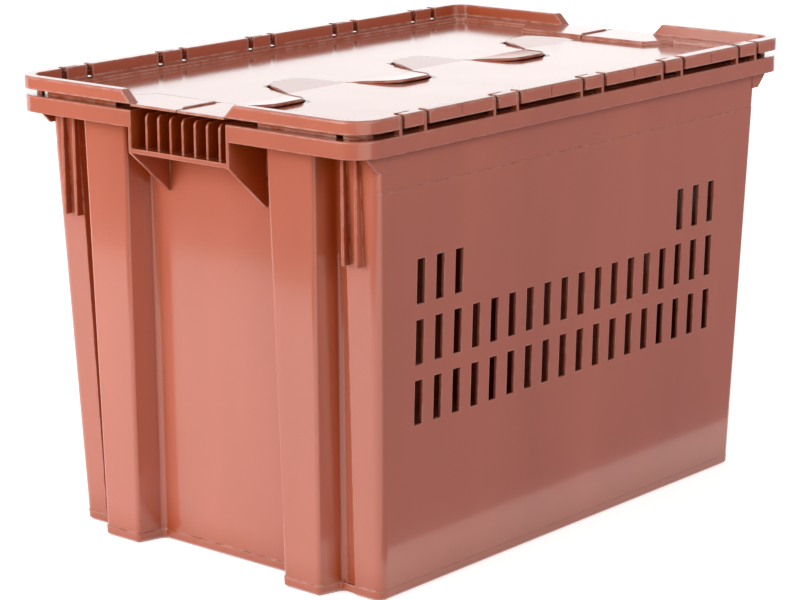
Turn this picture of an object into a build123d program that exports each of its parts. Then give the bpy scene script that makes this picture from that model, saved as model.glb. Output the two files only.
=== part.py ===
from build123d import *
import os

# Ventilated stack-and-nest crate with an attached lid in two hinged leaves.
# Millimetres, +Z up, X along the long side, origin at the middle of the base.
# Near is the -Y long side, far is the +Y long side.

# Crate rim
crate_length = 598.8
crate_width = 398.8
flange_top = 391.0
flange_plate = 3.0
skirt_height = 14.3
skirt_wall = 2.5
rim_corner = 26.0
flange_edge_chamfer = 1.0

# Crate walls
wall = 2.5
floor = 4.0
long_overhang = 9.6
panel_setback = 43.4
long_taper = 13.9
panel_taper = 7.3
recess_proud = 2.0
corner_proud_top = 12.5
corner_proud_base = 5.5
post_width_top = 38.0
post_width_base = 30.0
post_run = 2.0
step_below_flange = 46.0
step_proud = 0.4
base_band = 9.0
base_chamfer = 2.5
band_proud = 1.0
band_proud_long = 0.15
column_centre = 107.0
column_width_top = 51.0
column_width_base = 39.0
column_side_run = 7.0
column_depth_top = 25.5
column_depth_base = 26.0
arris_radius = 4.0
root_radius = 5.0
corner_radius = 9.0

# Vent slots
vent_width = 10.0
vent_height = 38.0
vent_pitch = 24.2
vent_columns = 18
vent_row_pitch = 51.2
vent_rows = 3
vent_below_flange = 106.8
vent_shift = -6.0
short_row_vents = 3

# Ribs and handles of the short ends
rib_pitch = 14.1
rib_wall = 2.2
handle_rib_count = 7
side_plate = 3.0
shelf_drop = 32.0
shelf_wall = 4.0
handle_gusset_drop = 74.0
grip_setback = 5.8
grip_round = 5.0
grip_drop = 2.0
under_rib_lift = 3.0
corner_rib_setback = 27.4
corner_rib_drop = 107.0
corner_gusset = 14.0

# Hinge
station_pitch = 117.5
station_count = 5
slit_offset = 15.0
slit_width = 7.0
ear_wall = 3.0
ear_radius = 3.0
ear_top_chamfer = 1.5
rod_radius = 2.0
rod_clearance = 0.05
rod_inset = 4.6
rod_below_top = 3.8
rod_end_past_slit = 4.5
web_wall = 2.5
middle_web_clearance = 0.4
block_slot_width = 2.0
block_slot_share = 0.6

# Lid
lid_overhang = 0.6
lid_gap = 5.5
lid_height = 11.0
rim_land_long = 12.0
rim_land_short = 9.0
rim_wall = 2.0
rim_roof = 1.6
rim_edge_chamfer = 1.2
lid_wall = 2.0
ledge_drop = 10.7
tray_clearance = 0.4
tray_inset = 26.0
bay_inset = 52.0
bay_half = 73.0
bay_run = 16.0
tray_corner = 9.0
handle_gap_foot = 54.0
handle_gap_top = 65.5
seat_gap = 0.1
seat_rib_wall = 2.0
seat_rib_inset = 11.0
seat_rib_start = 82.0
seat_rib_length = 84.0

# Seam between the leaves: a wave of tongues that the leaves send over each other
seam_gap = 1.5
tongue_pairs = 3
first_tongue = -211.0
tongue_pitch = 164.0
tongue_width = 85.0
tongue_reach = 43.0
tongue_lean = 37.0
tongue_tip_radius = 20.0
bay_radius = 1.0
seam_end_radius = 2.0
tongue_lift = 3.0

# Modelling allowances
bite = 1.0
past = 1.0

# Places worked out from the sizes above
half_length = crate_length / 2
half_width = crate_width / 2
skirt_bottom = flange_top - skirt_height
lid_half_length = half_length + lid_overhang
lid_half_width = half_width + lid_overhang
lid_bottom = flange_top + lid_gap
lid_top = lid_bottom + lid_height
ledge_top = lid_top - ledge_drop
ledge_bottom = ledge_top - lid_wall
tray_top = flange_top + tray_clearance + lid_wall
rod_y = lid_half_width - rod_inset
rod_z = lid_top - rod_below_top
stations = [station_pitch * (i - (station_count - 1) / 2) for i in range(station_count)]
ear_places = [s + side * slit_offset for s in stations for side in (-1, 1)]
rod_half = stations[-1] + slit_offset + slit_width / 2 + rod_end_past_slit
handle_half = rib_pitch * (handle_rib_count + 1) / 2


def offset_loop(points, distance):
    """Move every side of a closed counter-clockwise loop outwards and mitre the corners."""
    moved = []
    count = len(points)
    for i in range(count):
        ax, ay = points[i - 1]
        bx, by = points[i]
        cx, cy = points[(i + 1) % count]
        first = Vector(bx - ax, by - ay).normalized()
        second = Vector(cx - bx, cy - by).normalized()
        n1 = Vector(first.Y, -first.X)
        n2 = Vector(second.Y, -second.X)
        mitre = (n1 + n2) * (distance / (1 + n1.dot(n2)))
        moved.append((bx + mitre.X, by + mitre.Y))
    return moved


def mirrored_loop(quarter):
    """Close a first-quadrant chain, drawn from the X axis towards the Y axis, into four quadrants."""
    back = [(-x, y) for x, y in reversed(quarter)]
    opposite = [(-x, -y) for x, y in quarter]
    last = [(x, -y) for x, y in reversed(quarter)]
    return quarter + back + opposite + last


def wall_face(height, grow, wide=0.0):
    """Plan of the crate wall at one height, grown outwards by a distance."""
    share = height / flange_top
    panel = half_length - panel_setback - panel_taper * (1 - share)
    depth = column_depth_base + (column_depth_top - column_depth_base) * share
    half_column = (column_width_base + (column_width_top - column_width_base) * share) / 2
    proud = corner_proud_base + (corner_proud_top - corner_proud_base) * share
    post = post_width_base + (post_width_top - post_width_base) * share
    side = half_width - long_overhang - long_taper * (1 - share) + wide
    inner = column_centre - half_column
    outer = column_centre + half_column
    quarter = [
        (panel, inner - column_side_run),
        (panel + depth, inner),
        (panel + depth, outer),
        (panel + recess_proud, outer + column_side_run),
        (panel + recess_proud, side - post),
        (panel + proud, side - post + post_run),
        (panel + proud, side),
    ]
    radii = [root_radius - grow, arris_radius + grow, arris_radius + grow, root_radius - grow, 0, 0]
    radii.append(corner_radius + grow)
    loop = offset_loop(mirrored_loop(quarter), grow)
    loop_radii = radii + radii[::-1] + radii + radii[::-1]
    line = FilletPolyline(*loop, radius=loop_radii, close=True)
    return Pos(0, 0, height) * make_face(line)


def wall_loft(low, high, grow, wide=0.0, low_grow=None):
    """Drafted block between two heights of the crate wall."""
    start = grow if low_grow is None else low_grow
    return loft([wall_face(low, start, wide), wall_face(high, grow, wide)], ruled=True)


def rounded_block(length, width, radius, low, high):
    """Upright block with rounded corners between two heights."""
    return Pos(0, 0, low) * extrude(RectangleRounded(length, width, radius), high - low)


def box_between(x0, x1, y0, y1, z0, z1):
    """Box from its corner coordinates."""
    return Pos((x0 + x1) / 2, (y0 + y1) / 2, (z0 + z1) / 2) * Box(x1 - x0, y1 - y0, z1 - z0)


def end_plate(points, y, thickness):
    """Upright plate across Y, from a profile of X and Z points, centred on one place in Y."""
    face = make_face(Polyline(*points, close=True))
    return Pos(0, y + thickness / 2, 0) * extrude(Plane.XZ * face, thickness)


def both_ends(part):
    """A part at the +X end together with its copy at the other end."""
    return [part, mirror(part, about=Plane.YZ)]


def both_sides(part):
    """A part on the +Y side together with its copy on the other side."""
    return [part, mirror(part, about=Plane.XZ)]


def crate_shell():
    """Drafted, corrugated wall, with a base band on the short ends, before the inside is taken out."""
    step = flange_top - step_below_flange
    shell = wall_loft(base_chamfer, step, 0, step_proud)
    shell = shell + wall_loft(step, flange_top, 0)
    flush = step_proud + band_proud_long - band_proud
    shell = shell + wall_loft(base_chamfer, base_band, band_proud, flush)
    shell = shell + wall_loft(0, base_chamfer, band_proud, flush, band_proud - base_chamfer)
    panel = half_length - panel_setback - panel_taper
    side = half_width - long_overhang - long_taper
    outer = column_centre + column_width_base / 2
    face = panel + corner_proud_base + band_proud
    fill = box_between(panel, face, outer, side - corner_radius, base_chamfer, base_band)
    for one in both_ends(fill):
        shell = shell + both_sides(one)
    return shell


def crate_inside():
    """Hollow of the crate, from the floor to above the rim."""
    return wall_loft(floor, flange_top + wall, -wall)


def crate_flange():
    """Rim plate and hanging skirt with the rounded top edge."""
    block = rounded_block(crate_length, crate_width, rim_corner, skirt_bottom, flange_top)
    block = chamfer(block.faces().sort_by(Axis.Z)[-1].edges(), flange_edge_chamfer)
    hollow = rounded_block(
        crate_length - 2 * skirt_wall,
        crate_width - 2 * skirt_wall,
        rim_corner - skirt_wall,
        skirt_bottom,
        flange_top - flange_plate,
    )
    return block - hollow


def under_flange_ribs():
    """Short upright ribs between the end wall and the skirt, at the handle's pitch, clear of the arrises."""
    first = handle_rib_count // 2 + 2
    last = int((half_width - rim_corner) / rib_pitch)
    panel = half_length - panel_setback
    skirt = half_length - skirt_wall / 2
    low = skirt_bottom + under_rib_lift
    ribs = []
    for i in range(first, last + 1):
        y = i * rib_pitch
        from_arris = abs(abs(y - column_centre) - column_width_top / 2)
        if from_arris > column_side_run + root_radius:
            rib = box_between(panel, skirt, y - rib_wall / 2, y + rib_wall / 2, low, flange_top - bite)
            ribs += both_sides(rib)
    return ribs


def corner_ribs():
    """Two long stacking ribs beside each corner, and the small gusset on the corner itself."""
    panel = half_length - panel_setback
    reach = half_length - corner_rib_setback
    low = flange_top - corner_rib_drop
    ribs = []
    for i in (11, 12):
        y = i * rib_pitch
        rib = box_between(panel - bite, reach, y - side_plate / 2, y + side_plate / 2, low, flange_top - bite)
        ribs += both_sides(rib)
    side = half_width - long_overhang - wall / 2
    face = panel + corner_proud_top
    low_corner = skirt_bottom - corner_gusset
    gusset = end_plate(
        [(face - corner_radius, flange_top - bite), (face + corner_gusset, flange_top - bite),
         (face + corner_gusset, skirt_bottom), (face, low_corner), (face - corner_radius, low_corner)],
        side,
        wall,
    )
    return ribs + both_sides(gusset)


def grip_rib(y):
    """One finger rib of the handle, with a straight front and a rounded top."""
    root = half_length - panel_setback - bite
    front = half_length - grip_setback
    low = flange_top - shelf_drop - shelf_wall / 2
    high = flange_top - grip_drop
    top_line = Line((root, high), (front - grip_round, high))
    nose = RadiusArc((front - grip_round, high), (front, high - grip_round), grip_round)
    face_line = Line((front, high - grip_round), (front, low))
    foot = Line((front, low), (root, low))
    back = Line((root, low), (root, high))
    face = make_face(top_line + nose + face_line + foot + back)
    return Pos(0, y + rib_wall / 2, 0) * extrude(Plane.XZ * face, rib_wall)


def handle_parts():
    """Shelf, side plates and finger ribs of the handle at the +X end."""
    panel = half_length - panel_setback
    root = panel - bite
    shelf_top = flange_top - shelf_drop
    shelf_low = shelf_top - shelf_wall
    parts = [box_between(root, half_length, -handle_half, handle_half, shelf_low, shelf_top)]
    profile = [
        (root, flange_top - bite),
        (half_length, flange_top - bite),
        (half_length, shelf_low),
        (root + 2 * bite, flange_top - handle_gusset_drop),
        (root, flange_top - handle_gusset_drop),
    ]
    for side in (-1, 1):
        parts.append(end_plate(profile, side * handle_half, side_plate))
    for i in range(handle_rib_count):
        parts.append(grip_rib((i - (handle_rib_count - 1) / 2) * rib_pitch))
    return parts


def handle_opening():
    """Gap in the rim above the handle at the +X end."""
    panel = half_length - panel_setback
    clear = handle_half - side_plate / 2
    return box_between(panel, half_length + past, -clear, clear, skirt_bottom - past, flange_top + past)


def vent_slots():
    """Slots through both long walls: two full rows and a top row of which only the ends are open."""
    slots = []
    reach = crate_width
    for row in range(vent_rows):
        z = flange_top - vent_below_flange - vent_height / 2 - row * vent_row_pitch
        for i in range(vent_columns):
            inside_top_row = short_row_vents <= i < vent_columns - short_row_vents
            if row == 0 and inside_top_row:
                continue
            x = vent_shift + (i - (vent_columns - 1) / 2) * vent_pitch
            slots.append(Pos(x, 0, z) * Box(vent_width, reach, vent_height))
    return slots


def hinge_ears():
    """Ears that stand on the flange and hold the rod in moulded square windows, for the +Y side."""
    ears = []
    foot = flange_top - flange_plate / 2
    window = 2 * (rod_radius + rod_clearance)
    for x in ear_places:
        half = ear_wall / 2
        top = rod_z + ear_radius
        ear = box_between(x - half, x + half, rod_y - ear_radius, rod_y + ear_radius, foot, top)
        top_edges = ear.faces().sort_by(Axis.Z)[-1].edges().filter_by(Axis.X)
        ear = chamfer(top_edges, ear_top_chamfer)
        ears.append(ear - Pos(x, rod_y, rod_z) * Box(ear_wall + 2 * past, window, window))
    return ears


def make_crate():
    """The crate body, one moulding."""
    outside = crate_shell() + crate_flange()
    carried = []
    for rib in under_flange_ribs() + corner_ribs():
        carried += both_ends(rib)
    outside = outside + carried
    opening = handle_opening()
    outside = outside - both_ends(opening)
    handles = []
    for piece in handle_parts():
        handles += both_ends(piece)
    body = outside + handles
    body = body - crate_inside()
    body = body - vent_slots()
    ears = []
    for ear in hinge_ears():
        ears += both_sides(ear)
    return body + ears


def seam_line(side):
    """Edge of one leaf along the seam: a wave of tongues with round tips, from bay wall to bay wall."""
    end = lid_half_length + rim_corner
    lean = tongue_lean / 2
    half = tongue_width / 2
    points = [(-end, 0)]
    radii = []
    for i in range(tongue_pairs):
        mid = first_tongue + i * tongue_pitch
        up = mid + tongue_pitch / 2
        rest = (tongue_pitch - tongue_width) / 2
        points += [
            (mid - half + lean, -tongue_reach),
            (mid + half - lean, -tongue_reach),
            (up - rest + lean, tongue_reach),
            (up + rest - lean, tongue_reach),
        ]
        far_radius = tongue_tip_radius if side > 0 else bay_radius
        near_radius = bay_radius if side > 0 else tongue_tip_radius
        radii += [far_radius, far_radius, near_radius, near_radius]
    bay = lid_half_length - bay_inset
    points.insert(1, (-bay, 0))
    radii.insert(0, bay_radius if side > 0 else seam_end_radius)
    points += [(bay, 0), (end, 0)]
    radii.append(bay_radius)
    return FilletPolyline(*points, radius=radii)


def leaf_plan(side):
    """Plan of everything on one side of the seam, less half of the gap."""
    end = lid_half_length + rim_corner
    far = side * (lid_half_width + rim_corner)
    border = Polyline((end, 0), (end, far), (-end, far), (-end, 0))
    return offset(make_face(seam_line(side) + border), amount=-seam_gap / 2, kind=Kind.INTERSECTION)


def tray_face(grow):
    """Plan of the sunken tray that takes the base of a crate stacked on top."""
    long_half = lid_half_length - tray_inset
    bay = lid_half_length - bay_inset
    side = lid_half_width - tray_inset
    quarter = [(bay, bay_half), (long_half, bay_half + bay_run), (long_half, side)]
    radii = [root_radius, root_radius, tray_corner + grow]
    loop = offset_loop(mirrored_loop(quarter), grow)
    line = FilletPolyline(*loop, radius=radii + radii[::-1] + radii + radii[::-1], close=True)
    return make_face(line)


def raised(face, low, high):
    """A flat face pulled up between two heights."""
    return Pos(0, 0, low) * extrude(face, high - low)


def channel_void():
    """Hollow under the rim, open at the bottom, closed beside every slit and beside the handles."""
    length = 2 * lid_half_length
    width = 2 * lid_half_width
    ring = RectangleRounded(length - 2 * rim_wall, width - 2 * rim_wall, rim_corner - rim_wall)
    inner_length = length - 2 * rim_land_short + 2 * rim_wall
    inner_width = width - 2 * rim_land_long + 2 * rim_wall
    ring = ring - RectangleRounded(inner_length, inner_width, rim_corner - rim_land_long + rim_wall)
    void = raised(ring, ledge_bottom - past, lid_top - rim_roof)
    stop = handle_gap_top + rim_wall
    low = ledge_bottom - 2 * past
    wide = lid_half_width
    keep = [box_between(-lid_half_length, lid_half_length, -stop, stop, low, lid_top)]
    edge = slit_width / 2 + web_wall / 2
    for x in ear_places:
        for side in (-1, 1):
            mid = x + side * edge
            keep.append(box_between(mid - web_wall / 2, mid + web_wall / 2, -wide, wide, low, lid_top))
    return void - keep


def rim_trim():
    """Space under the outer rim wall, which ends higher than the ledge, clear of the handles."""
    length = 2 * lid_half_length
    width = 2 * lid_half_width
    inner_length = length - 2 * rim_land_short + 2 * rim_wall
    inner_width = width - 2 * rim_land_long + 2 * rim_wall
    ring = RectangleRounded(length + 2 * past, width + 2 * past, rim_corner + past)
    ring = ring - RectangleRounded(inner_length, inner_width, rim_corner - rim_land_long + rim_wall)
    trim = raised(ring, ledge_bottom - past, lid_bottom)
    end = lid_half_length + 2 * past
    foot = handle_gap_foot
    return trim - box_between(-end, end, -foot, foot, ledge_bottom - 2 * past, lid_bottom + past)


def handle_gap():
    """Break in the rim over the handle at the +X end, with sloping ends."""
    high = lid_top + past
    points = [
        (-handle_gap_foot, ledge_top),
        (handle_gap_foot, ledge_top),
        (handle_gap_top, high),
        (-handle_gap_top, high),
    ]
    face = make_face(Polyline(*points, close=True))
    depth = rim_land_short + 2 * past
    return Pos(lid_half_length - rim_land_short - past, 0, 0) * extrude(Plane.YZ * face, depth)


def hinge_slits():
    """Slits in the near and far rims that let the ears through."""
    slits = []
    low = ledge_bottom - past
    high = lid_top + past
    inner = lid_half_width - rim_land_long - past
    outer = lid_half_width + past
    for x in ear_places:
        slits += both_sides(box_between(x - slit_width / 2, x + slit_width / 2, inner, outer, low, high))
    return slits


def block_slots():
    """Narrow slot in the roof of each hinge block, starting at its left slit."""
    slots = []
    length = 2 * slit_offset * block_slot_share
    inner = lid_half_width - rim_land_long + rim_wall
    outer = inner + block_slot_width
    low = lid_top - rim_roof - past
    for s in stations:
        left = s - slit_offset
        slots += both_sides(box_between(left, left + length, inner, outer, low, lid_top + past))
    return slots


def seat_ribs():
    """Ribs under the ledge at both ends on which a closed leaf rests."""
    x = lid_half_length - seat_rib_inset
    half = seat_rib_wall / 2
    finish = seat_rib_start + seat_rib_length
    rib = box_between(x - half, x + half, seat_rib_start, finish, flange_top + seat_gap, ledge_top)
    return [copy for end in both_ends(rib) for copy in both_sides(end)]


def rod_seats():
    """Room for the rods: round bores in the outermost webs and square clearance in the ones between."""
    radius = rod_radius + rod_clearance
    reach = stations[-1] + slit_offset
    seats = []
    for side in (-1, 1):
        square = 2 * (radius + middle_web_clearance)
        seats.append(Pos(0, side * rod_y, rod_z) * Box(2 * reach, square, square))
        seats.append(Pos(0, side * rod_y, rod_z) * Rot(0, 90, 0) * Cylinder(radius, 2 * (rod_half + past)))
    return seats


def whole_lid():
    """Both leaves in one, flat across the middle, before the seam is cut."""
    length = 2 * lid_half_length
    width = 2 * lid_half_width
    lid = rounded_block(length, width, rim_corner, ledge_bottom, lid_top)
    well = rounded_block(
        length - 2 * rim_land_short, width - 2 * rim_land_long, rim_corner - rim_land_long, ledge_top, lid_top
    )
    lid = chamfer(lid.faces().sort_by(Axis.Z)[-1].edges(), rim_edge_chamfer)
    lid = lid - well
    lid = lid - raised(tray_face(lid_wall), ledge_bottom - past, ledge_top + past)
    tray = raised(tray_face(lid_wall), tray_top - lid_wall, ledge_top)
    lid = lid + (tray - raised(tray_face(0), tray_top, ledge_top + past))
    lid = lid - channel_void() - rim_trim()
    lid = lid - both_ends(handle_gap())
    lid = lid + seat_ribs()
    lid = lid - hinge_slits() - block_slots()
    return lid - rod_seats()


def tongue_slab(side):
    """Sloping sheet that lifts a leaf's tongues over the other leaf, from the middle line outwards."""
    rise = tongue_lift
    reach = side * tongue_reach
    points = [
        (0, tray_top - lid_wall),
        (0, tray_top),
        (reach, tray_top + rise),
        (reach, tray_top + rise - lid_wall),
    ]
    face = make_face(Polyline(*points, close=True))
    length = 2 * (lid_half_length - bay_inset)
    return Pos(-length / 2, 0, 0) * extrude(Plane.YZ * face, length)


def make_leaf(lid, side):
    """One leaf: its half of the lid and its tongues, for the side of Y given by the sign."""
    low = tray_top - lid_wall - rim_land_long
    high = lid_top + rim_land_long
    region = raised(leaf_plan(side), low, high)
    end = lid_half_length + past
    far = lid_half_width + past
    own_half = Pos(0, side * far / 2, (low + high) / 2) * Box(2 * end, far, high - low)
    flat = lid & region & own_half
    tongues = tongue_slab(-side) & region
    return flat + tongues


def make_rod(side):
    """Hinge rod, straight steel wire."""
    return Pos(0, side * rod_y, rod_z) * Rot(0, 90, 0) * Cylinder(rod_radius, 2 * rod_half)


def solids_of(part):
    """One solid of a finished part."""
    solids = part.solids()
    return solids[0] if len(solids) == 1 else Compound(children=list(solids))


def main():
    """Build every piece and write one STEP file for each."""
    os.makedirs("parts", exist_ok=True)
    lid = whole_lid()
    pieces = {
        "crate": make_crate(),
        "lid_leaf_near": make_leaf(lid, -1),
        "lid_leaf_far": make_leaf(lid, 1),
        "hinge_rod_near": make_rod(-1),
        "hinge_rod_far": make_rod(1),
    }
    for name, piece in pieces.items():
        export_step(solids_of(piece), os.path.join("parts", name + ".step"))
        print(name, len(piece.solids()), round(piece.volume))


main()
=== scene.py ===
"""Looks of a stack-and-nest crate with two lid leaves: plastics, rods, mould marks and a plain stage."""

import math

import bpy
import numpy as np
from bpy.props import FloatProperty, FloatVectorProperty, PointerProperty
from mathutils import Matrix, Vector


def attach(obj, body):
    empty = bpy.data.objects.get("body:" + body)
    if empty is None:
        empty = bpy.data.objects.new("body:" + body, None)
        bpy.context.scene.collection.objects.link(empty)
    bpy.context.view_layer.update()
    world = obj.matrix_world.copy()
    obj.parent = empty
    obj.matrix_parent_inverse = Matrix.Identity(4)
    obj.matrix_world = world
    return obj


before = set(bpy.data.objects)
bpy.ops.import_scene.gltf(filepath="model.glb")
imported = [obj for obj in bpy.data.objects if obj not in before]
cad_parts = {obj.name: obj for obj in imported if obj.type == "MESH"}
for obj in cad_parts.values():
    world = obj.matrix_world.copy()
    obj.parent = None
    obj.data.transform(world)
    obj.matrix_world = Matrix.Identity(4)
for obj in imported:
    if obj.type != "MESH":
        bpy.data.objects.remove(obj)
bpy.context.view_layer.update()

bl_info = {
    "name": "Crate looks",
    "version": (1, 0, 0),
    "blender": (4, 5, 0),
    "location": "3D view > Sidebar > Crate",
    "description": "Plastics, rods, mould marks and stage of a crate with two hinged lid leaves",
    "category": "Object",
}


def colour(name, text, default):
    """A colour that the user may change."""
    return FloatVectorProperty(
        name=name, description=text, subtype="COLOR", size=3, min=0, max=1, default=default
    )


def share(name, text, default):
    """A share from nothing to all."""
    return FloatProperty(name=name, description=text, subtype="FACTOR", min=0, max=1, default=default)


def length(name, text, default):
    """A length in metres."""
    return FloatProperty(name=name, description=text, unit="LENGTH", min=0, default=default)


def number(name, text, default):
    """A plain number."""
    return FloatProperty(name=name, description=text, default=default)


class BodyLook(bpy.types.PropertyGroup):
    """Finish of the crate body."""

    plain: colour("Colour", "Colour of the moulded wall", (0.490, 0.132, 0.080))
    # Deep colour: painted shade, a darker and more saturated orange blended into corners and slits.
    deep: colour("Deep colour", "Colour in corners and slits of the wall", (0.340, 0.052, 0.004))
    # The next colour and the edge amount further down serve real abrasion on edges and scuffs, and along
    # every edge they also paint a highlight.
    worn_and_highlight: colour("Worn colour", "Colour of rubbed edges", (0.760, 0.420, 0.330))
    roughness: share("Roughness", "Roughness of the moulded wall", 0.20)
    wear_and_highlight: share("Wear", "How far the edges are rubbed", 0.55)
    edge: length("Edge round", "Radius of the rounded edges", 0.0018)


class LidLook(bpy.types.PropertyGroup):
    """Finish of the two lid leaves."""

    plain: colour("Colour", "Colour of the leaves", (0.510, 0.145, 0.090))
    # Deep colour: painted shade, a darker and more saturated orange blended into slits and corners.
    deep: colour("Deep colour", "Colour in slits and corners of the leaves", (0.400, 0.070, 0.012))
    # The next colour and the edge amount further down serve real abrasion on edges and scuffs, and along
    # every edge they also paint a highlight.
    worn_and_highlight: colour("Worn colour", "Colour of rubbed edges", (0.800, 0.470, 0.370))
    roughness: share("Roughness", "Roughness of the leaves", 0.12)
    wear_and_highlight: share("Wear", "How far the edges are rubbed", 0.65)
    edge: length("Edge round", "Radius of the rounded edges", 0.0030)


class TrimLook(bpy.types.PropertyGroup):
    """Sizes of the small moulded details of the leaves."""

    lip_width: length("Lip width", "Width of the lip along a tongue's edge", 0.0013)
    lip_height: length("Lip height", "Height of the lip along a tongue's edge", 0.0006)
    bar_width: length("Bar width", "Width of the bar beside the seam on the end ledge", 0.0024)
    bar_height: length("Bar height", "Height of the bar beside the seam on the end ledge", 0.0014)
    tick_width: length("Tick width", "Width of a gate mark on the long rims", 0.0016)
    tick_height: length("Tick height", "How far a gate mark stands out of the rim", 0.0004)
    rib_wall: length("Corner rib wall", "Thickness of the curved rib under each corner", 0.002)


class RodLook(bpy.types.PropertyGroup):
    """Finish of the hinge rods."""

    plain: colour("Colour", "Colour of the drawn steel", (0.560, 0.555, 0.550))
    dull: colour("Dull colour", "Colour of the oxide in the drawing lines", (0.300, 0.285, 0.270))
    roughness: share("Roughness", "Roughness of the steel", 0.34)


class StageLook(bpy.types.PropertyGroup):
    """Floor, light and camera."""

    floor: colour("Floor", "Colour of the floor", (0.90, 0.90, 0.90))
    floor_size: length("Floor size", "Length of one side of the floor", 24.0)
    lift: share("Floor lift", "Light added to the floor where the camera or a reflection sees it", 0.68)
    ambient: share("Ambient", "Strength of the light from the horizon", 0.50)
    overhead: share("Overhead", "Strength of the light from straight above", 0.12)
    key: number("Key lamp", "Power of the lamp that lights the short end", 84.0)
    back: number("Back lamp", "Power of the lamp that the lid mirrors", 27.0)
    fill: number("Fill lamp", "Power of the lamp that lights the long side", 46.0)
    lens: number("Lens", "Focal length in millimetres", 121.81)


def piece_look(name):
    """The property group of one piece of the scene."""
    return getattr(bpy.context.scene, "crate_" + name)


def add_node(tree, kind, inputs=None, **settings):
    """A new node with its settings and unlinked input values."""
    node = tree.nodes.new("ShaderNode" + kind)
    for key, value in settings.items():
        setattr(node, key, value)
    for key, value in (inputs or {}).items():
        if isinstance(value, bpy.types.NodeSocket):
            tree.links.new(value, node.inputs[key])
        else:
            node.inputs[key].default_value = value
    return node


def rgba(values):
    """Three colour values as four."""
    return (*values, 1.0)


def maths(tree, operation, first, second=0.0, clamp=False):
    """The result of one Math node."""
    return add_node(tree, "Math", {0: first, 1: second}, operation=operation, use_clamp=clamp).outputs[0]


def ramp(tree, value, low, high):
    """A value spread from 0 at low to 1 at high, and held there."""
    node = add_node(tree, "MapRange", {"Value": value, "From Min": low, "From Max": high})
    return node.outputs["Result"]


def noise(tree, vector, scale, detail, roughness=0.5):
    """The value of one Noise Texture node."""
    inputs = {"Vector": vector, "Scale": scale, "Detail": detail, "Roughness": roughness}
    return add_node(tree, "TexNoise", inputs).outputs["Fac"]


def blend_colour(tree, factor, first, second):
    """A mix of two colours."""
    node = tree.nodes.new("ShaderNodeMix")
    node.data_type = "RGBA"
    for key, value in ((0, factor), (6, first), (7, second)):
        if isinstance(value, bpy.types.NodeSocket):
            tree.links.new(value, node.inputs[key])
        else:
            node.inputs[key].default_value = value
    return node.outputs[2]


def new_group(name, inputs, outputs):
    """An empty shader node group with named float inputs and outputs."""
    group = bpy.data.node_groups.new(name, "ShaderNodeTree")
    for label, default in inputs.items():
        socket = group.interface.new_socket(label, in_out="INPUT", socket_type="NodeSocketFloat")
        socket.default_value = default
    for label in outputs:
        group.interface.new_socket(label, in_out="OUTPUT", socket_type="NodeSocketFloat")
    return group, group.nodes.new("NodeGroupInput"), group.nodes.new("NodeGroupOutput")


def edge_wear_and_highlight_group():
    """Mask of abraded edges that also paints a highlight along them: where the rounded normal leaves the flat
    one, broken up by noise.
    """
    inputs = {"Radius": 0.001, "Amount": 0.5, "Break up": 90.0}
    group, given, result = new_group("edge wear", inputs, ["Mask"])
    rounded = add_node(group, "Bevel", {"Radius": given.outputs["Radius"]}, samples=6)
    flat = add_node(group, "NewGeometry")
    dot = add_node(group, "VectorMath", operation="DOT_PRODUCT")
    group.links.new(rounded.outputs["Normal"], dot.inputs[0])
    group.links.new(flat.outputs["Normal"], dot.inputs[1])
    edge = ramp(group, dot.outputs["Value"], 0.995, 0.90)
    place = add_node(group, "TexCoord")
    speckle = noise(group, place.outputs["Object"], given.outputs["Break up"], 4.0)
    broken = ramp(group, speckle, 0.36, 0.62)
    strength = maths(group, "MULTIPLY", edge, broken)
    group.links.new(maths(group, "MULTIPLY", strength, given.outputs["Amount"], True), result.inputs["Mask"])
    return group


def painted_recess_shade_group():
    """Mask of painted shade in corners and slits, from how much of the surroundings a point sees within a
    short distance.
    """
    group, given, result = new_group("painted_recess_shade", {"Distance": 0.03, "Floor": 0.2, "Ceiling": 0.9}, ["Mask"])
    seen = add_node(group, "AmbientOcclusion", {"Distance": given.outputs["Distance"]}, samples=8)
    mask = add_node(group, "MapRange")
    group.links.new(seen.outputs["AO"], mask.inputs["Value"])
    group.links.new(given.outputs["Ceiling"], mask.inputs["From Min"])
    group.links.new(given.outputs["Floor"], mask.inputs["From Max"])
    group.links.new(mask.outputs["Result"], result.inputs["Mask"])
    return group


def moulding_group():
    """Heights and masks of a moulded skin: slow sink waves, fine grain and thin scuffs."""
    inputs = {"Wave scale": 9.0, "Grain scale": 900.0, "Scuff scale": 42.0}
    group, given, result = new_group("moulding", inputs, ["Waves", "Grain", "Scuffs", "Blotches"])
    place = add_node(group, "TexCoord")
    point = place.outputs["Object"]
    tall = add_node(group, "Mapping", {"Vector": point, "Scale": (1.0, 1.0, 0.22)})
    slanted = {"Vector": point, "Scale": (1.0, 1.0, 7.0), "Rotation": (0.5, 0.35, 0.2)}
    lines = add_node(group, "Mapping", slanted)
    waves = noise(group, tall.outputs[0], given.outputs["Wave scale"], 1.0)
    grain = noise(group, point, given.outputs["Grain scale"], 2.0)
    blotches = noise(group, tall.outputs[0], 5.5, 3.0, 0.6)
    scuffs = noise(group, lines.outputs[0], given.outputs["Scuff scale"], 6.0, 0.7)
    group.links.new(waves, result.inputs["Waves"])
    group.links.new(grain, result.inputs["Grain"])
    group.links.new(ramp(group, scuffs, 0.70, 0.80), result.inputs["Scuffs"])
    group.links.new(blotches, result.inputs["Blotches"])
    return group


def place_group(tree, name, make, inputs):
    """One use of a shared group, which is built the first time that it is asked for."""
    node = tree.nodes.new("ShaderNodeGroup")
    node.node_tree = bpy.data.node_groups.get(name) or make()
    for key, value in inputs.items():
        node.inputs[key].default_value = value
    return node


def empty_material(name):
    """A material with only a Principled shader and its output."""
    material = bpy.data.materials.new(name)
    material.use_nodes = True
    return material, material.node_tree, material.node_tree.nodes["Principled BSDF"]


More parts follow.
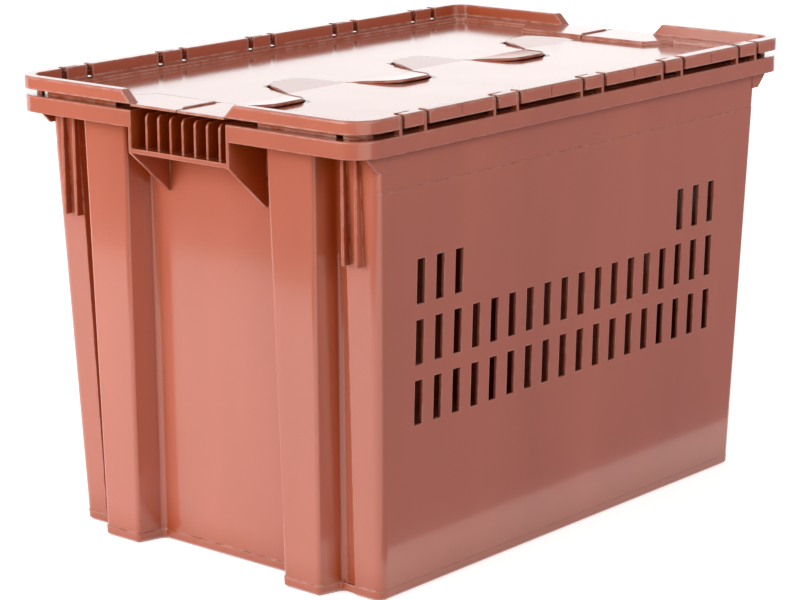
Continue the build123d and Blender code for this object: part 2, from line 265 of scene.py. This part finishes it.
def plastic(name, look, wave_height, scuff_light, coat):
    """Glossy moulded plastic with abraded edges that also carry a painted highlight, painted shade in
    corners, sink waves and light scuffs.
    """
    material, tree, shader = empty_material(name)
    wear_and_highlight = place_group(tree, "edge wear", edge_wear_and_highlight_group, {"Radius": look.edge, "Amount": look.wear_and_highlight})
    painted_recess_shade = place_group(tree, "painted_recess_shade", painted_recess_shade_group, {"Distance": 0.05, "Floor": 0.38, "Ceiling": 0.84})
    skin = place_group(tree, "moulding", moulding_group, {})
    pale = tuple(min(1.0, 1.10 * c) for c in look.plain)
    shade = tuple(0.90 * c for c in look.plain)
    blotches = ramp(tree, skin.outputs["Blotches"], 0.3, 0.7)
    base = blend_colour(tree, blotches, rgba(shade), rgba(pale))
    # Painted shade: the deep colour blended in where the occlusion mask finds a corner or slit.
    deep = blend_colour(tree, painted_recess_shade.outputs["Mask"], base, rgba(look.deep))
    scuffs = maths(tree, "MULTIPLY", skin.outputs["Scuffs"], scuff_light)
    scuffed = blend_colour(tree, scuffs, deep, rgba(look.worn_and_highlight))
    # Pale edges: real abrasion, and also a painted highlight along every edge.
    rubbed_and_highlit = blend_colour(tree, wear_and_highlight.outputs["Mask"], scuffed, rgba(look.worn_and_highlight))
    tree.links.new(rubbed_and_highlit, shader.inputs["Base Color"])
    rough = maths(tree, "MULTIPLY_ADD", skin.outputs["Scuffs"], 0.16)
    rough.node.inputs[2].default_value = look.roughness
    worn_rough = maths(tree, "MULTIPLY_ADD", wear_and_highlight.outputs["Mask"], 0.12)
    tree.links.new(rough, worn_rough.node.inputs[2])
    tree.links.new(worn_rough, shader.inputs["Roughness"])
    shader.inputs["IOR"].default_value = 1.50
    shader.inputs["Coat Weight"].default_value = coat
    shader.inputs["Coat Roughness"].default_value = 0.09
    soft = add_node(tree, "Bevel", {"Radius": look.edge}, samples=6)
    grain = {"Height": skin.outputs["Grain"], "Strength": 0.05, "Distance": 0.0002}
    fine = add_node(tree, "Bump", grain)
    tree.links.new(soft.outputs["Normal"], fine.inputs["Normal"])
    waves = {"Height": skin.outputs["Waves"], "Strength": 0.35, "Distance": wave_height}
    wavy = add_node(tree, "Bump", waves)
    tree.links.new(fine.outputs["Normal"], wavy.inputs["Normal"])
    tree.links.new(wavy.outputs["Normal"], shader.inputs["Normal"])
    return material


# Places on the leaves, in metres, as the CAD model has them
first_tongue = -0.211
tongue_pitch = 0.164
tongue_reach = 0.043
root_half = 0.0425
tip_half = 0.024
bay_wall = 0.248
tip_radius = 0.020
half_gap = 0.00075
tray_top = 0.3934
sheet = 0.002
tongue_rise = 0.003
ledge_top = 0.3968
rim_side = 0.200
tongue_middles = [first_tongue + i * tongue_pitch for i in range(3)]

# Places of the small details, in metres
lip_start = 0.003
flank_lip_end = 0.0245
web_sink = 0.00005
bar_outer = 0.2915
bar_inner = 0.2510
gate_places = (-0.17625, -0.05875, 0.05875, 0.17625)
gate_low = 0.3985
gate_high = 0.4062
rib_middle_x = 0.2734
rib_middle_y = 0.1734
rib_radius = 0.0156
rib_low = 0.39115
rib_high = 0.3952


def lid_plastic():
    """The leaves' plastic, made the first time that it is asked for."""
    made = bpy.data.materials.get("lid plastic")
    return made or plastic("lid plastic", piece_look("lid"), wave_height=0.002, scuff_light=0.14, coat=0.25)


def put_mesh(name, points, faces, body, smooth=True):
    """A new piece of lid plastic from points and faces, which rides with one body."""
    mesh = bpy.data.meshes.new(name)
    mesh.from_pydata(points.tolist(), [], faces)
    mesh.polygons.foreach_set("use_smooth", np.full(len(mesh.polygons), smooth))
    mesh.update()
    mesh.materials.append(lid_plastic())
    piece = bpy.data.objects.new(name, mesh)
    bpy.context.scene.collection.objects.link(piece)
    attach(piece, body)
    return piece


def joined(parts):
    """Several sets of points and faces as one."""
    points, faces, count = [], [], 0
    for some_points, some_faces in parts:
        points.append(some_points)
        faces += [[index + count for index in face] for face in some_faces]
        count += len(some_points)
    return np.concatenate(points), faces


def swept(path, up, profile, fade=0.0):
    """A closed profile carried along a path.

    A point is the path's place plus the profile's first number times the sideways direction, which is the
    run crossed with up, plus its second times the upright one. With a fade, the profile shrinks over that
    share of the run at each end, as a quarter of a sine does.
    """
    steps, around = len(path), len(profile)
    along = np.gradient(path, axis=0)
    along /= np.linalg.norm(along, axis=1)[:, None]
    side = np.cross(along, up)
    side /= np.linalg.norm(side, axis=1)[:, None]
    lift = np.cross(side, along)
    run = np.linspace(0, 1, steps)
    size = np.sin(np.clip(np.minimum(run, 1 - run) / fade, 0.05, 1) * np.pi / 2) if fade else np.ones(steps)
    out = side[:, None] * profile[None, :, :1] + lift[:, None] * profile[None, :, 1:]
    points = (path[:, None] + size[:, None, None] * out).reshape(-1, 3)
    i, j = np.meshgrid(np.arange(steps - 1), np.arange(around), indexing="ij")
    k = (j + 1) % around
    quads = np.stack([i * around + j, (i + 1) * around + j, (i + 1) * around + k, i * around + k], axis=-1)
    caps = [list(range(around)), list(range((steps - 1) * around, steps * around))[::-1]]
    return points, quads.reshape(-1, 4).tolist() + caps


def half_round(width, height, around=10):
    """Profile of a ridge: half an ellipse above the path and a flatter one, a third as high, below it."""
    angle = np.linspace(0, 2 * np.pi, around, endpoint=False)
    rise = np.sin(angle)
    return np.stack([np.cos(angle) * width / 2, np.where(rise > 0, rise, rise / 3) * height], axis=1)


def rounded(corners, radius, steps=9):
    """A run through corners, each rounded by an arc that touches both of its sides.

    The arc's middle lies on the corner's bisector, radius / sin(half angle) away. Its points turn evenly from
    one touching point to the other: (sin((1 - t) turn) start + sin(t turn) finish) / sin(turn).
    """
    p = np.asarray(corners, float)
    before = p[:-2] - p[1:-1]
    after = p[2:] - p[1:-1]
    before /= np.linalg.norm(before, axis=1)[:, None]
    after /= np.linalg.norm(after, axis=1)[:, None]
    half = np.arccos(np.sum(before * after, axis=1))[:, None] / 2
    middle = before + after
    middle /= np.linalg.norm(middle, axis=1)[:, None]
    centre = p[1:-1] + middle * radius / np.sin(half)
    start = p[1:-1] + before * radius / np.tan(half) - centre
    finish = p[1:-1] + after * radius / np.tan(half) - centre
    turn = np.pi - 2 * half[:, None]
    t = np.linspace(0, 1, steps)[None, :, None]
    spread = np.sin((1 - t) * turn) * start[:, None] + np.sin(t * turn) * finish[:, None]
    arcs = centre[:, None] + spread / np.sin(turn)
    return np.concatenate([p[:1], arcs.reshape(-1, 2), p[-1:]])


def evenly(run, steps):
    """The same run with points at even distances."""
    travelled = np.concatenate([[0], np.cumsum(np.linalg.norm(np.diff(run, axis=0), axis=1))])
    places = np.linspace(0, travelled[-1], steps)
    return np.stack([np.interp(places, travelled, run[:, k]) for k in range(run.shape[1])], axis=1)


def flank(root, tip, y, shift):
    """X of a tongue's side at one Y, moved by a distance square to the side."""
    lean = (tip - root) / tongue_reach
    return root + lean * abs(y) + shift * math.hypot(1, lean)


def on_tongue(run):
    """A flat run put on the sloping tongues, which rise from the middle line to their tips."""
    return np.column_stack([run, tray_top + tongue_rise * np.abs(run[:, 1]) / tongue_reach])


class CRATE_OT_lips(bpy.types.Operator):
    """Run a thin lip along the edges of the tongues.

    A far tongue's lip follows its right side, its round tip and its left side, half a lip's width inside the
    edge. A near tongue's lip follows its left side only.
    """

    bl_idname = "crate.lips"
    bl_label = "Add tongue lips"

    def execute(self, context):
        look = piece_look("trim")
        profile = half_round(look.lip_width, look.lip_height)
        inset = half_gap + look.lip_width / 2
        far, near = [], []
        for i, mid in enumerate(tongue_middles):
            left_root = mid - root_half if i else -bay_wall
            low = -tongue_reach + inset
            tip_left = flank(left_root, mid - tip_half, low, inset)
            tip_right = flank(mid + root_half, mid + tip_half, low, -inset)
            corners = [
                (flank(mid + root_half, mid + tip_half, 0, -inset), 0),
                (tip_right, low),
                (tip_left, low),
                (flank(left_root, mid - tip_half, lip_start, inset), -lip_start),
            ]
            run = evenly(rounded(corners, tip_radius - inset), 90)
            far.append(swept(on_tongue(run), (0, 0, 1), profile, 0.05))
            y = np.linspace(0, flank_lip_end, 24)
            x = flank(mid + root_half, mid + 2 * root_half - tip_half, y, inset)
            near.append(swept(on_tongue(np.column_stack([x, y])), (0, 0, 1), profile, 0.08))
        put_mesh("tongue_lips_far", *joined(far), "far_leaf")
        put_mesh("tongue_lips_near", *joined(near), "near_leaf")
        return {"FINISHED"}


def bay_web(corner, one, other):
    """Flat web in a bay's corner, between its two sides and an arc that keeps the gap from the round tip.

    The arc touches both sides, and the web is that outline pulled up through the sheet's thickness.
    """
    arc = rounded([one, corner, other], tip_radius + half_gap, 13)[1:-1]
    ring = np.concatenate([[corner], arc])
    nxt = np.roll(ring, -1, axis=0)
    if np.sum(ring[:, 0] * nxt[:, 1] - nxt[:, 0] * ring[:, 1]) < 0:
        ring = ring[::-1]
        ring = np.roll(ring, 1, axis=0)
    count = len(ring)
    low = np.column_stack([ring, np.full(count, tray_top - sheet)])
    high = np.column_stack([ring, np.full(count, tray_top - web_sink)])
    i = np.arange(count)
    k = (i + 1) % count
    walls = np.stack([i, k, k + count, i + count], axis=-1).tolist()
    fan = np.arange(1, count - 1)
    top = np.stack([np.full(count - 2, count), fan + count, fan + 1 + count], axis=-1).tolist()
    bottom = np.stack([np.zeros(count - 2, int), fan + 1, fan], axis=-1).tolist()
    return np.concatenate([low, high]), walls + top + bottom


class CRATE_OT_webs(bpy.types.Operator):
    """Fill the bays' corners up to the round tips of the tongues."""

    bl_idname = "crate.webs"
    bl_label = "Add bay webs"

    def execute(self, context):
        near, far = [], []
        for i, mid in enumerate(tongue_middles):
            for webs, centre, sign in ((near, mid, -1), (far, mid + tongue_pitch / 2, 1)):
                deep = tongue_reach + half_gap
                for side in (-1, 1):
                    root = centre + side * root_half
                    if webs is near and i == 0 and side < 0:
                        root = -bay_wall
                    if webs is far and i == len(tongue_middles) - 1 and side > 0:
                        root = bay_wall
                    tip = centre + side * tip_half
                    corner = (flank(root, tip, deep, side * half_gap), sign * deep)
                    foot = (flank(root, tip, 0, side * half_gap), 0)
                    webs.append(bay_web(corner, foot, (centre, sign * deep)))
        put_mesh("bay_webs_near", *joined(near), "near_leaf", smooth=False)
        put_mesh("bay_webs_far", *joined(far), "far_leaf", smooth=False)
        return {"FINISHED"}


class CRATE_OT_bars(bpy.types.Operator):
    """Lay a bar beside the seam on both end ledges."""

    bl_idname = "crate.bars"
    bl_label = "Add seam bars"

    def execute(self, context):
        look = piece_look("trim")
        profile = half_round(look.bar_width, look.bar_height)
        x = np.linspace(bar_outer, bar_inner, 24)
        y = np.full(24, half_gap + look.bar_width / 2)
        z = np.full(24, ledge_top)
        bars = [swept(np.column_stack([side * x, y, z]), (0, 0, 1), profile, 0.06) for side in (-1, 1)]
        put_mesh("seam_bars", *joined(bars), "far_leaf")
        return {"FINISHED"}


class CRATE_OT_ticks(bpy.types.Operator):
    """Put the gate marks on the long rims."""

    bl_idname = "crate.ticks"
    bl_label = "Add gate marks"

    def execute(self, context):
        look = piece_look("trim")
        profile = half_round(look.tick_width, look.tick_height)
        z = np.linspace(gate_low, gate_high, 12)
        for name, body, sign in (("gate_marks_near", "near_leaf", -1), ("gate_marks_far", "far_leaf", 1)):
            marks = []
            for x in gate_places:
                path = np.column_stack([np.full(12, x), np.full(12, sign * rim_side), z])
                marks.append(swept(path, (0, sign, 0), profile, 0.15))
            put_mesh(name, *joined(marks), body)
        return {"FINISHED"}


class CRATE_OT_corners(bpy.types.Operator):
    """Hang a curved rib under each corner of the rim.

    A rib is a quarter circle in plan, pulled up from rib_low to rib_high.
    """

    bl_idname = "crate.corners"
    bl_label = "Add corner ribs"

    def execute(self, context):
        look = piece_look("trim")
        half = look.rib_wall / 2
        tall = rib_high - rib_low
        box = np.array([(half, tall), (-half, tall), (-half, 0), (half, 0)])
        angle = np.linspace(0, np.pi / 2, 17)
        for name, body, sign in (("corner_ribs_near", "near_leaf", -1), ("corner_ribs_far", "far_leaf", 1)):
            ribs = []
            for side in (-1, 1):
                x = side * (rib_middle_x + rib_radius * np.cos(angle))
                y = sign * (rib_middle_y + rib_radius * np.sin(angle))
                ribs.append(swept(np.column_stack([x, y, np.full(17, rib_low)]), (0, 0, 1), box))
            put_mesh(name, *joined(ribs), body, smooth=False)
        return {"FINISHED"}


def dress(node_name, material):
    """Put one material on a CAD node."""
    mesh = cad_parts[node_name].data
    for index in range(len(mesh.materials)):
        mesh.materials[index] = material


class CRATE_OT_body(bpy.types.Operator):
    """Give the crate body its glossy terracotta plastic."""

    bl_idname = "crate.body"
    bl_label = "Finish crate body"

    def execute(self, context):
        material = plastic("crate plastic", piece_look("body"), wave_height=0.004, scuff_light=0.10, coat=0.6)
        dress("crate", material)
        return {"FINISHED"}


class CRATE_OT_lid(bpy.types.Operator):
    """Give both lid leaves their glossier plastic."""

    bl_idname = "crate.lid"
    bl_label = "Finish lid leaves"

    def execute(self, context):
        for name in ("lid_leaf_near", "lid_leaf_far"):
            dress(name, lid_plastic())
        return {"FINISHED"}


class CRATE_OT_rods(bpy.types.Operator):
    """Give the hinge rods drawn steel with fine lines along them."""

    bl_idname = "crate.rods"
    bl_label = "Finish hinge rods"

    def execute(self, context):
        look = piece_look("rods")
        material, tree, shader = empty_material("rod steel")
        place = add_node(tree, "TexCoord")
        along = add_node(tree, "Mapping", {"Vector": place.outputs["Object"], "Scale": (0.02, 1.0, 1.0)})
        lines = noise(tree, along.outputs[0], 2600.0, 3.0)
        mask = ramp(tree, lines, 0.35, 0.70)
        drawn = blend_colour(tree, mask, rgba(look.plain), rgba(look.dull))
        tree.links.new(drawn, shader.inputs["Base Color"])
        rough = maths(tree, "MULTIPLY_ADD", mask, 0.15)
        rough.node.inputs[2].default_value = look.roughness
        tree.links.new(rough, shader.inputs["Roughness"])
        shader.inputs["Metallic"].default_value = 1.0
        bump = add_node(tree, "Bump", {"Height": lines, "Strength": 0.2, "Distance": 0.0001})
        tree.links.new(bump.outputs["Normal"], shader.inputs["Normal"])
        for name in ("hinge_rod_near", "hinge_rod_far"):
            dress(name, material)
        return {"FINISHED"}


def seen_by_camera_or_gloss(tree):
    """1 for camera, glossy and transmission rays, otherwise 0."""
    path = add_node(tree, "LightPath")
    first = maths(tree, "MAXIMUM", path.outputs["Is Camera Ray"], path.outputs["Is Glossy Ray"])
    return maths(tree, "MAXIMUM", first, path.outputs["Is Transmission Ray"])


def flat_card(name, centre, facing, width, height):
    """A flat four-cornered card, centred on one point and facing another."""
    out = (Vector(facing) - Vector(centre)).normalized()
    side = out.cross(Vector((0, 0, 1))).normalized() if abs(out.z) < 0.99 else Vector((1, 0, 0))
    rise = side.cross(out)
    corners = [(-1, -1), (-1, 1), (1, 1), (1, -1)]
    points = [Vector(centre) + side * (a * width / 2) + rise * (b * height / 2) for a, b in corners]
    mesh = bpy.data.meshes.new(name)
    mesh.from_pydata(points, [], [(0, 1, 2, 3)])
    card = bpy.data.objects.new(name, mesh)
    bpy.context.scene.collection.objects.link(card)
    return card


def soft_lamp(name, place, target, width, height, power):
    """A rectangular lamp that the camera doesn't see."""
    data = bpy.data.lights.new(name, "AREA")
    data.shape = "RECTANGLE"
    data.size = width
    data.size_y = height
    data.energy = power
    lamp = bpy.data.objects.new(name, data)
    bpy.context.scene.collection.objects.link(lamp)
    lamp.location = place
    lamp.rotation_euler = (Vector(target) - Vector(place)).to_track_quat("-Z", "Y").to_euler()
    lamp.visible_camera = False
    return lamp


# Cards that only reflections see: name, colour, centre, point faced, width and height
cool = (0.28, 0.30, 0.38)
warm = (0.03, 0.01, 0.005)
flags = (
    ("flag_beside_long_side", cool, (3.4, -3.0, 1.6), (0.0, 0.0, 0.3), 5.5, 5.0),
    ("flag_before_long_side", cool, (1.9, -2.3, 0.001), (1.9, -2.3, 1.0), 4.4, 4.1),
    ("flag_before_short_end", warm, (-3.0, 1.4, 0.001), (-3.0, 1.4, 1.0), 4.0, 6.0),
)


# The camera's place in metres, fitted with its angles and lens to points seen in the photograph
camera_place = (-1.83315, -1.55956, 0.76692)
camera_shift = -0.0045


def aim_camera(lens):
    """The camera at the photograph's place: turned about +Z, tipped down and rolled a little."""
    turn, tip, roll = (math.radians(a) for a in (-49.34, 13.68, -0.42))
    back = Vector((math.sin(turn) * math.cos(tip), -math.cos(turn) * math.cos(tip), math.sin(tip)))
    right = Vector((math.cos(turn), math.sin(turn), 0.0))
    up = back.cross(right)
    rolled_right = right * math.cos(roll) + up * math.sin(roll)
    rolled_up = up * math.cos(roll) - right * math.sin(roll)
    data = bpy.data.cameras.new("camera")
    data.lens = lens
    data.sensor_width = 36.0
    data.shift_x = camera_shift
    data.clip_end = 100.0
    camera = bpy.data.objects.new("camera", data)
    bpy.context.scene.collection.objects.link(camera)
    turned = Matrix((rolled_right, rolled_up, back)).transposed().to_4x4()
    camera.matrix_world = Matrix.Translation(camera_place) @ turned
    bpy.context.scene.camera = camera


class CRATE_OT_stage(bpy.types.Operator):
    """Build the floor, the lamps, the world and the camera."""

    bl_idname = "crate.stage"
    bl_label = "Build stage"

    def execute(self, context):
        look = piece_look("stage")
        scene = bpy.context.scene
        floor = flat_card("floor", (0, 0, -0.0003), (0, 0, 1), look.floor_size, look.floor_size)
        material, tree, shader = empty_material("floor")
        shader.inputs["Base Color"].default_value = rgba(look.floor)
        shader.inputs["Roughness"].default_value = 0.9
        lift = maths(tree, "MULTIPLY", seen_by_camera_or_gloss(tree), look.lift)
        glow = add_node(tree, "Emission", {"Strength": lift})
        both = add_node(tree, "AddShader", {0: shader.outputs[0], 1: glow.outputs[0]})
        tree.links.new(both.outputs[0], tree.nodes["Material Output"].inputs["Surface"])
        floor.data.materials.append(material)

        for name, tint, centre, facing, width, height in flags:
            flag = flat_card(name, centre, facing, width, height)
            dim, tree, _ = empty_material(name)
            glow = add_node(tree, "Emission", {"Color": rgba(tint), "Strength": 1.0})
            tree.links.new(glow.outputs[0], tree.nodes["Material Output"].inputs["Surface"])
            flag.data.materials.append(dim)
            flag.visible_camera = False
            flag.visible_diffuse = False
            flag.visible_shadow = False

        target = (0, 0, 0.2)
        soft_lamp("key_lamp", (-3.0, 1.0, 1.1), target, 2.2, 1.8, look.key)
        soft_lamp("back_lamp", (3.0, 2.7, 1.6), target, 4.5, 2.6, look.back)
        soft_lamp("fill_lamp", (-0.6, -3.4, 1.8), target, 2.0, 2.0, look.fill)

        world = bpy.data.worlds.new("studio")
        world.use_nodes = True
        tree = world.node_tree
        dome = tree.nodes["Background"]
        dome.inputs["Color"].default_value = (1.0, 1.0, 1.0, 1.0)
        toward = add_node(tree, "TexCoord")
        up = add_node(tree, "SeparateXYZ", {0: toward.outputs["Generated"]})
        climb = {"Value": up.outputs["Z"], "To Min": look.ambient, "To Max": look.overhead}
        sky = add_node(tree, "MapRange", climb)
        strength = maths(tree, "MAXIMUM", seen_by_camera_or_gloss(tree), sky.outputs["Result"])
        tree.links.new(strength, dome.inputs["Strength"])
        scene.world = world
        scene.view_settings.view_transform = "Standard"
        aim_camera(look.lens)
        return {"FINISHED"}


class CRATE_PT_looks(bpy.types.Panel):
    """Lists the steps that finish the crate."""

    bl_label = "Crate looks"
    bl_space_type = "VIEW_3D"
    bl_region_type = "UI"
    bl_category = "Crate"

    def draw(self, context):
        for operator in operators:
            self.layout.operator(operator.bl_idname)
        for name in looks:
            group = piece_look(name)
            box = self.layout.box()
            for key in group.__annotations__:
                box.prop(group, key)


looks = {"body": BodyLook, "lid": LidLook, "trim": TrimLook, "rods": RodLook, "stage": StageLook}
operators = (
    CRATE_OT_body,
    CRATE_OT_lid,
    CRATE_OT_lips,
    CRATE_OT_webs,
    CRATE_OT_bars,
    CRATE_OT_ticks,
    CRATE_OT_corners,
    CRATE_OT_rods,
    CRATE_OT_stage,
)
classes = (*looks.values(), *operators, CRATE_PT_looks)


def register():
    """Register the classes and hang the property groups on the scene."""
    for one in classes:
        bpy.utils.register_class(one)
    for name, group in looks.items():
        setattr(bpy.types.Scene, "crate_" + name, PointerProperty(type=group))


def unregister():
    """Take the classes and property groups away again."""
    for name in looks:
        delattr(bpy.types.Scene, "crate_" + name)
    for one in reversed(classes):
        bpy.utils.unregister_class(one)


def main():
    """Finish every piece in order."""
    register()
    bpy.ops.crate.body()
    bpy.ops.crate.lid()
    bpy.ops.crate.lips()
    bpy.ops.crate.webs()
    bpy.ops.crate.bars()
    bpy.ops.crate.ticks()
    bpy.ops.crate.corners()
    bpy.ops.crate.rods()
    bpy.ops.crate.stage()


if __name__ == "__main__":
    main()
